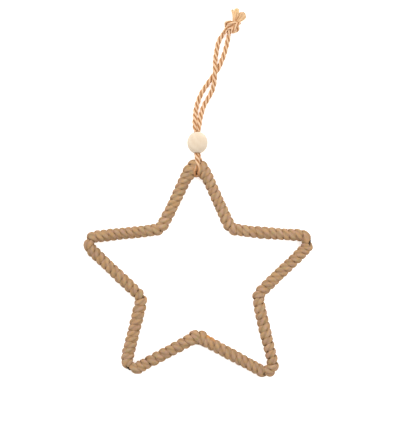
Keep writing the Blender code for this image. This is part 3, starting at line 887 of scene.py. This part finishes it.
def stray_fibre(random, start, away, ahead):
    """A loose fibre that leaves a strand and curls back along it, as a tube."""
    share = np.linspace(0, 1, STRAY_RINGS)[:, None]
    reach = random.uniform(*STRAY_REACH)
    length = random.uniform(*STRAY_LENGTH)
    curl = random.uniform(-STRAY_CURL, STRAY_CURL)
    ahead = unit(ahead) * random.choice((-1.0, 1.0))
    aside = np.cross(away, ahead)
    fibre = start + length * share * ahead + reach * np.sin(2.4 * share) * away
    fibre = fibre + curl * share**2 * aside - STRAY_ROOT * away
    fibre[:, 2] = np.maximum(fibre[:, 2], FIBRES_AT)
    thick = STRAY_RADIUS * (1 - 0.6 * share[..., None])
    rings = round_rings(fibre, thick, *side_axes(fibre), angles(FIBRE_SIDES))
    return rings, rings / MM, shading(rings.shape, 0.0, 1.0, 0.0)


def settings():
    """The scene's settings of this ornament."""
    return bpy.context.scene.jute_star


def stage_object(name, data, location=(0, 0, 0)):
    """Link a camera, a light or the floor into the scene."""
    made = bpy.data.objects.new(name, data)
    made.location = location
    bpy.context.scene.collection.objects.link(made)
    return made


class JUTESTAR_OT_stage(bpy.types.Operator):
    """Set up the camera straight above, soft light and a plain pale floor"""

    bl_idname = "jute_star.stage"
    bl_label = "Camera, light and floor"

    def execute(self, context):
        stage = settings().stage
        camera_data = bpy.data.cameras.new("camera")
        camera_data.sensor_fit = "VERTICAL"
        camera_data.sensor_height = 36.0
        camera_data.lens = camera_data.sensor_height * stage.distance / stage.frame_height
        camera_data.clip_end = 10.0
        place = (*pixel_place(*PHOTO_MIDDLE), WIRE_HEIGHT + stage.distance)
        camera = stage_object("camera", camera_data, place)
        context.scene.camera = camera
        floor_mesh = bmesh.new()
        bmesh.ops.create_grid(floor_mesh, x_segments=1, y_segments=1, size=FLOOR_HALF)
        bmesh.ops.translate(floor_mesh, verts=floor_mesh.verts, vec=(0, 0, -FLOOR_BELOW))
        floor_data = mesh_of("floor", floor_mesh)
        opal = {
            "Roughness": 0.9,
            "IOR": 1.5,
            "Base Color": (*stage.floor_colour, 1.0),
            "Emission Color": (1.0, 1.0, 1.0, 1.0),
            "Emission Strength": stage.floor_glow,
        }
        material, _, _ = new_surface("lit_opal_acrylic", opal)
        floor_data.materials.append(material)
        stage_object("floor", floor_data)
        for name, place, size, power in LIGHTS:
            light = bpy.data.lights.new(name, "AREA")
            light.size = size
            light.energy = power
            lamp = stage_object(name, light, place)
            lamp.rotation_euler = (-Vector(place)).to_track_quat("-Z", "Y").to_euler()
        world = context.scene.world or bpy.data.worlds.new("soft_room")
        context.scene.world = world
        world.use_nodes = True
        sky = world.node_tree.nodes["Background"]
        set_values(sky, {"Color": (1.0, 1.0, 1.0, 1.0), "Strength": stage.room_light})
        context.scene.view_settings.view_transform = "Standard"
        return {"FINISHED"}


def pixel_place(across, down):
    """The place in metres of a pixel of the photograph."""
    return ((across - PIXEL_OF_ORIGIN[0]) * MM, (PIXEL_OF_ORIGIN[1] - down) * MM)


class JUTESTAR_OT_bead(bpy.types.Operator):
    """Turn the wooden bead"""

    bl_idname = "jute_star.bead"
    bl_label = "Bead"

    def execute(self, context):
        bead = settings().bead
        half_width = BEAD_DIAMETER / 2
        bore = bead.bore / 2
        mouth = bore + bead.lip
        start = math.asin(mouth / half_width)
        half_length = BEAD_LENGTH / 2 / math.cos(start)
        profile = []
        for angle in np.linspace(start, math.pi - start, BEAD_RINGS):
            profile.append((half_width * math.sin(angle), half_length * math.cos(angle)))
        rounding = []
        for angle in LIP_ANGLES:
            inset, depth = 1 - math.sin(angle), 1 - math.cos(angle)
            rounding.append((bore + bead.lip * inset, -bead.lip * depth))
        end = half_length * math.cos(start)
        profile += [(r, -end - d) for r, d in rounding]
        profile += [(bore, -end + bead.lip), (bore, 0.0), (bore, end - bead.lip)]
        profile += [(r, end + d) for r, d in reversed(rounding)]
        work = bmesh.new()
        verts = [work.verts.new((radius, 0, height)) for radius, height in profile]
        edges = [work.edges.new((verts[i - 1], verts[i])) for i in range(len(verts))]
        bmesh.ops.spin(
            work,
            geom=verts + edges,
            cent=(0, 0, 0),
            axis=(0, 0, 1),
            angle=math.tau,
            steps=BEAD_SPOKES,
            use_merge=True,
        )
        tilt = Matrix.Rotation(-BEAD_TILT, 3, "X")
        for vert in work.verts:
            vert.co = BEAD_MIDDLE + tilt @ Vector((BEAD_WIDER * vert.co.x, vert.co.z, -vert.co.y))
            vert.co.z = min(max(vert.co.z, BEAD_LOW.z), BEAD_HIGH.z)
        bmesh.ops.recalc_face_normals(work, faces=work.faces)
        wood = wood_surface("turned_pale_hardwood", bead)
        finish_piece("wooden_bead", work, wood, "bead")
        return {"FINISHED"}


def twine_surface(name="twisted_jute_twine", tuft=False):
    """The finish of the twine, or the paler one of its frayed fibres."""
    twine = settings().twine
    colour = tuple(twine.tuft_colour if tuft else twine.colour)
    groove = tuple(twine.groove_shade_colour)
    if tuft:
        made = fibre_surface(name, colour, groove, tuple(twine.pale_colour), None, 0.4, 0.15, 0.05)
        tint = (*linear("FFDDBB"), 1.0)
        sheen = {"Sheen Weight": 0.7, "Sheen Roughness": 0.6, "Sheen Tint": tint}
        set_values(made.node_tree.nodes["Principled BSDF"], sheen)
        return made
    edge = tuple(0.9 * part for part in colour)
    return fibre_surface(name, colour, groove, edge, None, 0.5, 0.24, 0.3)


class JUTESTAR_OT_knot(bpy.types.Operator):
    """Tie the overhand knot from both strands of the twine, and fray their ends"""

    bl_idname = "jute_star.knot"
    bl_label = "Knot and tuft"

    def execute(self, context):
        twine = settings().twine
        mesh = PieceMesh()
        for number, stops in enumerate(KNOT_STRANDS.values()):
            places = smooth_line(placed(stops), twine.step)
            lay_strand(mesh, places, TWINE_RADIUS, twine.lay, number, number)
        mesh.finish("overhand_knot", twine_surface(), "twine", "twine_knot")
        random = np.random.default_rng(TUFT_SEED)
        tuft = PieceMesh()
        for stops, rounding, fibres, pale, streak in TUFT_LOCKS:
            line = smooth_line(placed(stops), TUFT_STEP)
            tuft.add_fibres(self.lock(random, line, rounding, fibres, pale, streak))
        tuft.finish("frayed_tuft", twine_surface("frayed_jute_fibre", True), "twine", None)
        return {"FINISHED"}

    def lock(self, random, line, rounding, fibres, pale, streak):
        """A lock of fibres, each a tube, round a line that also holds the lock's radius."""
        made = []
        across, up = side_axes(line[:, :3])
        share = np.linspace(0, 1, len(line))
        length = steps(line[:, :3]).sum()
        for _ in range(fibres):
            turn = random.uniform(0, math.tau)
            reach = math.sqrt(random.uniform(0, 1))
            aside = reach * math.cos(turn)
            away = across * math.cos(turn) + TUFT_FLATNESS * up * math.sin(turn)
            bowed = np.sin(math.pi * share) * random.uniform(-TUFT_BOW, TUFT_BOW)
            fibre = line[:, :3] + (line[:, 3] * (reach + bowed))[:, None] * away
            until = random.uniform(0.93, 1.0) - rounding * line[-1, 3] / length * aside**2
            fibre = np.stack([np.interp(until * share, share, row) for row in fibre.T], axis=1)
            fibre[:, 2] = np.maximum(fibre[:, 2], TUFT_AT)
            thick = random.uniform(*TUFT_FIBRES) * (1 - 0.3 * share**2)
            thick = thick[:, None, None]
            rings = round_rings(fibre, thick, *side_axes(fibre), angles(FIBRE_SIDES))
            unlaid = np.broadcast_to(np.array((9 * turn, 7 * reach, 0.0)), rings.shape).copy()
            unlaid[..., 2] = 8 * share[:, None]
            # Painted shade in the seams across each lock and along its streak; the fibres are also
            # darker towards the root
            from_tip = 1 - share[:, None]
            between = (0.5 + 0.5 * math.cos(3 * math.pi * aside)) ** 2
            deep = np.maximum(0.8 * between * from_tip**0.7, 0.4 * from_tip**1.4)
            deep = np.maximum(deep, 1.7 * hump(aside, streak, STREAK_REACH) * from_tip**0.9)
            paler = pale * share[:, None] ** 2
            shade = shading(rings.shape, np.minimum(deep, 1), random.uniform(0, 1), paler)
            made.append((rings, unlaid, shade))
        return made


class JUTESTAR_OT_twine(bpy.types.Operator):
    """Lay the hanging twine, from the knot through the bead, round the top point and back"""

    bl_idname = "jute_star.twine"
    bl_label = "Hanging twine"

    def execute(self, context):
        twine = settings().twine
        places = smooth_line(placed(TWINE_ROUTE), twine.step)
        mesh = PieceMesh()
        along = places[:, 1] - TOP[1]
        on_top = places[:, 2] > WIRE_HEIGHT + HITCH_ABOVE
        on_top &= np.abs(along - HITCH_MIDDLE) < HITCH_REACH
        slack = np.where(on_top, hump(along, *SLACK_THERE), 0.0)
        opened = np.where(on_top, np.clip((OPEN_FROM - along) / OPEN_WITHIN, 0, 1), 0.0)
        shown = places.copy()
        over = (places[:, 2] > BEAD_HEIGHT) & (along < HITCH_END)
        shown[:, 0] += np.where(over, TWINE_ASIDE * hump(along, *ASIDE_THERE), 0.0)
        shown[:, 0] += OPENED_ASIDE * opened
        shown[:, 0] += BEAD_SHIFT * hump(along, *BEAD_THERE)
        from_knot = twine.step * np.minimum(np.arange(len(places)), np.arange(len(places))[::-1])
        shown[:, 3] *= TWINE_PLUMP - KNOT_TAPER * hump(from_knot, 0, KNOT_REACH)
        for middle, reach, fuller in TWINE_FULLER:
            shown[:, 3] += fuller * hump(along, middle, reach, 4)
        # Painted shade on the twine: darker at both mouths of the bead's hole, where its plies open
        # over the top point, and along the DARK_THERE stretch
        mouths = [BEAD_MIDDLE.y - TOP[1] + side * BEAD_LENGTH / 2 for side in (-1, 1)]
        painted_shade = sum(hump(along, mouth, MOUTH_REACH) for mouth in mouths)
        painted_shade += 0.7 * opened**0.5 + 0.3 * hump(along, *DARK_THERE)
        painted_shade = np.clip(painted_shade, 0, 1)
        looks = {"slack": slack, "spread": OPENED_APART * opened, "painted_shade": painted_shade}
        lay_strand(mesh, shown, TWINE_RADIUS, twine.lay, 0.0, **looks)
        random = np.random.default_rng(TWINE_FIBRES_SEED)
        fibres = []
        for _ in range(twine.strays):
            at = random.integers(4, len(places) - 4)
            lean = random.uniform(-1.2, 1.2)
            away = np.array((math.cos(lean), 0.0, math.sin(lean))) * random.choice((-1.0, 1.0))
            away[2] = abs(away[2])
            start = shown[at, :3] + 0.9 * TWINE_RADIUS * shown[at, 3] * away
            fibres.append(stray_fibre(random, start, away, shown[at + 2, :3] - shown[at - 2, :3]))
        mesh.add_fibres(fibres)
        piece = mesh.finish("hanging_twine_strands", twine_surface(), "twine", "hanging_twine")
        return {"FINISHED"}


class JUTESTAR_OT_wire(bpy.types.Operator):
    """Bend the star's wire"""

    bl_idname = "jute_star.wire"
    bl_label = "Wire"

    def execute(self, context):
        distance = np.linspace(0, LINE.length, WIRE_RINGS, endpoint=False)
        points, inward = LINE.at(distance)
        for gap, corner in WIRE_CORNERS:
            near = hump(distance, LINE.bend_middles[0] + gap * MM, CORNER_REACH)
            points -= corner * MM * near[:, None] * inward
        up = np.broadcast_to(UP, inward.shape)
        rings = round_rings(points, WIRE_DIAMETER / 2, inward, up, angles(WIRE_SIDES))
        mesh = PieceMesh()
        mesh.tube(rings, rings, shading(rings.shape, 0.0, 0.0, 0.0), closed=True)
        mesh.finish("star_wire", wire_surface("dark_annealed_steel"), "steel_wire", "wire_frame")
        return {"FINISHED"}


class JUTESTAR_OT_rope(bpy.types.Operator):
    """Wind the jute rope round the wire"""

    bl_idname = "jute_star.rope"
    bl_label = "Wound rope"

    def execute(self, context):
        rope = settings().rope
        mesh = PieceMesh()
        rings, unlaid, shade, glue = self.winding(rope)
        mesh.tube(rings, unlaid, shade, glue)
        random = np.random.default_rng(ROPE_FIBRES_SEED)
        middles = rings.mean(axis=1)
        fibres = []
        for _ in range(rope.strays):
            at = random.integers(4, len(rings) - 4)
            side = random.integers(0, rings.shape[1])
            away = unit(rings[at, side] - middles[at])
            wire = LINE.at(winding_distance(ROPE_START + at / rope.rows))[0]
            if np.dot(away, middles[at] - wire) > 0:
                ahead = middles[at + 3] - middles[at - 3]
                fibres.append(stray_fibre(random, rings[at, side], away, ahead))
        for number, stops in enumerate(ROPE_ENDS):
            places = smooth_line(placed(stops), ROPE_END_STEP)
            # Painted shade: each strand is painted darker towards its last stop
            cut = np.linspace(0, 1, len(places)) ** 5
            lay_strand(mesh, places, ROPE_WIDTH / 2, rope.lay, 0.3 * number, 2 * number, painted_shade=cut)
        mesh.add_fibres(fibres)
        colours = (rope.colour, rope.groove_shade_colour, rope.side_shade_and_blotch_colour, rope.glue_colour)
        finish = fibre_surface("laid_jute_rope", *map(tuple, colours), 1.3, 0.5, 0.8)
        mesh.finish("wound_jute_rope", finish, "jute_rope", "rope_wrap")
        return {"FINISHED"}

    def winding(self, rope):
        """Rings of the rope's surface, from its glued end all round the star to the other."""
        random = np.random.default_rng(WINDING_SEED)
        turns = np.linspace(ROPE_START, ROPE_END, int((ROPE_END - ROPE_START) * rope.rows) + 1)
        half_width, half_height = ROPE_WIDTH / 2, rope.plump * ROPE_PRESSED / 2
        stray = smooth_noise(random, turns, PLACE_TURNS)
        swell = smooth_noise(random, turns, SWELL_TURNS)
        distance = winding_distance(turns) + rope.wander * stray
        lifted, wider_back, wider_on = np.zeros((3, len(turns)))
        for turn, lift, back, on in LOOSE_TURNS:
            near = hump(turns, turn, LOOSE_REACH)
            lifted += lift * near
            wider_back += back * near
            wider_on += on * near
        points, inward = LINE.at(distance)
        angle = math.tau * turns
        outward = np.cos(angle)[:, None] * inward + np.sin(angle)[:, None] * UP
        radius = WIRE_DIAMETER / 2 + half_height + 0.5 * rope.wander * swell
        radius = radius + lifted + wound_looser(distance)
        middle = points + radius[:, None] * outward
        ahead = unit(np.gradient(middle, axis=0))
        outward = unit(outward - ahead * np.sum(outward * ahead, axis=1, keepdims=True))
        beside = np.cross(outward, ahead)
        gap = np.linalg.norm(middle[rope.rows :] - middle[: -rope.rows], axis=1) / 2
        pad = np.full(rope.rows, half_width)
        crowd = TURN_WIDTH + TURN_WIDER * np.abs(np.sin(angle))
        most = TURN_MOST * crowd * half_width + rope.wander * swell
        to_next = np.minimum(most, crowd * np.concatenate((gap, pad))) + wider_on
        to_last = np.minimum(most, crowd * np.concatenate((pad, gap))) + wider_back
        run = run_along(steps(middle))
        twist = -math.tau * run / rope.lay
        offsets = np.radians([ply * 120 + line for ply in range(3) for line in PLY_LINES])
        fullness = ply_fullness(offsets, rope.ply_groove)
        around = twist[:, None] + offsets[None]
        width = np.where(np.cos(around) > 0, to_next[:, None], to_last[:, None])
        flat = signed_power(np.cos(around), FULL_ACROSS) * width * fullness
        tall = signed_power(np.sin(around), FULL_UP) * half_height * fullness
        rings = middle[:, None] + flat[..., None] * beside[:, None]
        rings = rings + tall[..., None] * outward[:, None]
        rings[..., 2] = np.maximum(rings[..., 2], LIE_AT)
        unlaid = np.zeros_like(rings)
        unlaid[..., 0] = 3.0 * np.cos(around - 0.6 * twist[:, None])
        unlaid[..., 1] = 3.0 * np.sin(around - 0.6 * twist[:, None])
        unlaid[..., 2] = run[:, None] / MM
        # Painted shade: darker in the grooves between plies and on the side that faces the wire,
        # which shows in the crevices between turns
        deep = (1 - fullness) / (1 - fullness.min())
        inside = np.clip(-np.sin(around), 0, 1)
        deep = np.clip(0.5 * deep[None] + 0.22 * inside, 0, 0.9)
        tint = 0.5 + 0.5 * smooth_noise(random, turns, TINT_TURNS)[:, None]
        # Painted shade on the sides of the turns, most on the star's inside and outside edges
        upwards = np.clip(unit(rings - middle[:, None])[..., 2], 0, 1)
        sideways = (1 - upwards**2) ** 2 * (0.35 + 0.65 * np.abs(np.cos(angle)))[:, None]
        shade = shading(rings.shape, deep, tint, sideways)
        glue = hump(turns, GLUED_TURN, GLUE_REACH) * np.clip(2.4 * np.cos(angle) - 1.1, 0, 0.8)
        return rings, unlaid, shade, np.broadcast_to(glue[:, None], rings.shape[:2])


def ply_fullness(offsets, groove):
    """Share of the full radius at angles round a three-ply rope, with a groove every third."""
    off_crest = (np.asarray(offsets) % (math.tau / 3)) - math.pi / 3
    full = np.cos(off_crest) + np.sqrt(9 - np.sin(off_crest) ** 2)
    least = math.cos(math.pi / 3) + math.sqrt(9 - math.sin(math.pi / 3) ** 2)
    return 1 - groove * (4 - full) / (4 - least)


def signed_power(values, power):
    """The values' sizes to a power, with their signs kept."""
    return np.sign(values) * np.abs(values) ** power


def smooth_noise(random, places, period):
    """Smooth random values between about -1 and 1 along places."""
    knots = np.arange(math.floor(places[0] / period) - 1, math.ceil(places[-1] / period) + 2)
    values = random.uniform(-1, 1, len(knots))
    passed = places / period - knots[0]
    index = np.clip(passed.astype(int), 0, len(knots) - 2)
    share = passed - index
    share = share * share * (3 - 2 * share)
    return values[index] * (1 - share) + values[index + 1] * share


class JuteStarSettings(bpy.types.PropertyGroup):
    """All settings of the ornament"""

    rope: PointerProperty(type=RopeSettings)
    twine: PointerProperty(type=TwineSettings)
    bead: PointerProperty(type=BeadSettings)
    stage: PointerProperty(type=StageSettings)


class JUTESTAR_PT_panel(bpy.types.Panel):
    """Sidebar panel with the ornament's settings and steps"""

    bl_idname = "JUTESTAR_PT_panel"
    bl_label = "Jute star"
    bl_space_type = "VIEW_3D"
    bl_region_type = "UI"
    bl_category = "Jute star"

    def draw(self, context):
        for group in ("stage", "bead", "twine", "rope"):
            box = self.layout.box()
            box.label(text=group.capitalize())
            values = getattr(context.scene.jute_star, group)
            for name in values.__annotations__:
                box.prop(values, name)
        for operator in OPERATORS:
            self.layout.operator(operator.bl_idname)


OPERATORS = (
    JUTESTAR_OT_stage,
    JUTESTAR_OT_bead,
    JUTESTAR_OT_knot,
    JUTESTAR_OT_twine,
    JUTESTAR_OT_wire,
    JUTESTAR_OT_rope,
)
CLASSES = (
    RopeSettings,
    TwineSettings,
    BeadSettings,
    StageSettings,
    JuteStarSettings,
    *OPERATORS,
    JUTESTAR_PT_panel,
)


def register():
    for cls in CLASSES:
        bpy.utils.register_class(cls)
    bpy.types.Scene.jute_star = PointerProperty(type=JuteStarSettings)


def unregister():
    del bpy.types.Scene.jute_star
    for cls in reversed(CLASSES):
        bpy.utils.unregister_class(cls)


def main():
    """Build the whole ornament and its stage."""
    register()
    bpy.ops.jute_star.stage()
    bpy.ops.jute_star.bead()
    bpy.ops.jute_star.knot()
    bpy.ops.jute_star.twine()
    bpy.ops.jute_star.wire()
    bpy.ops.jute_star.rope()


if __name__ == "__main__":
    main()
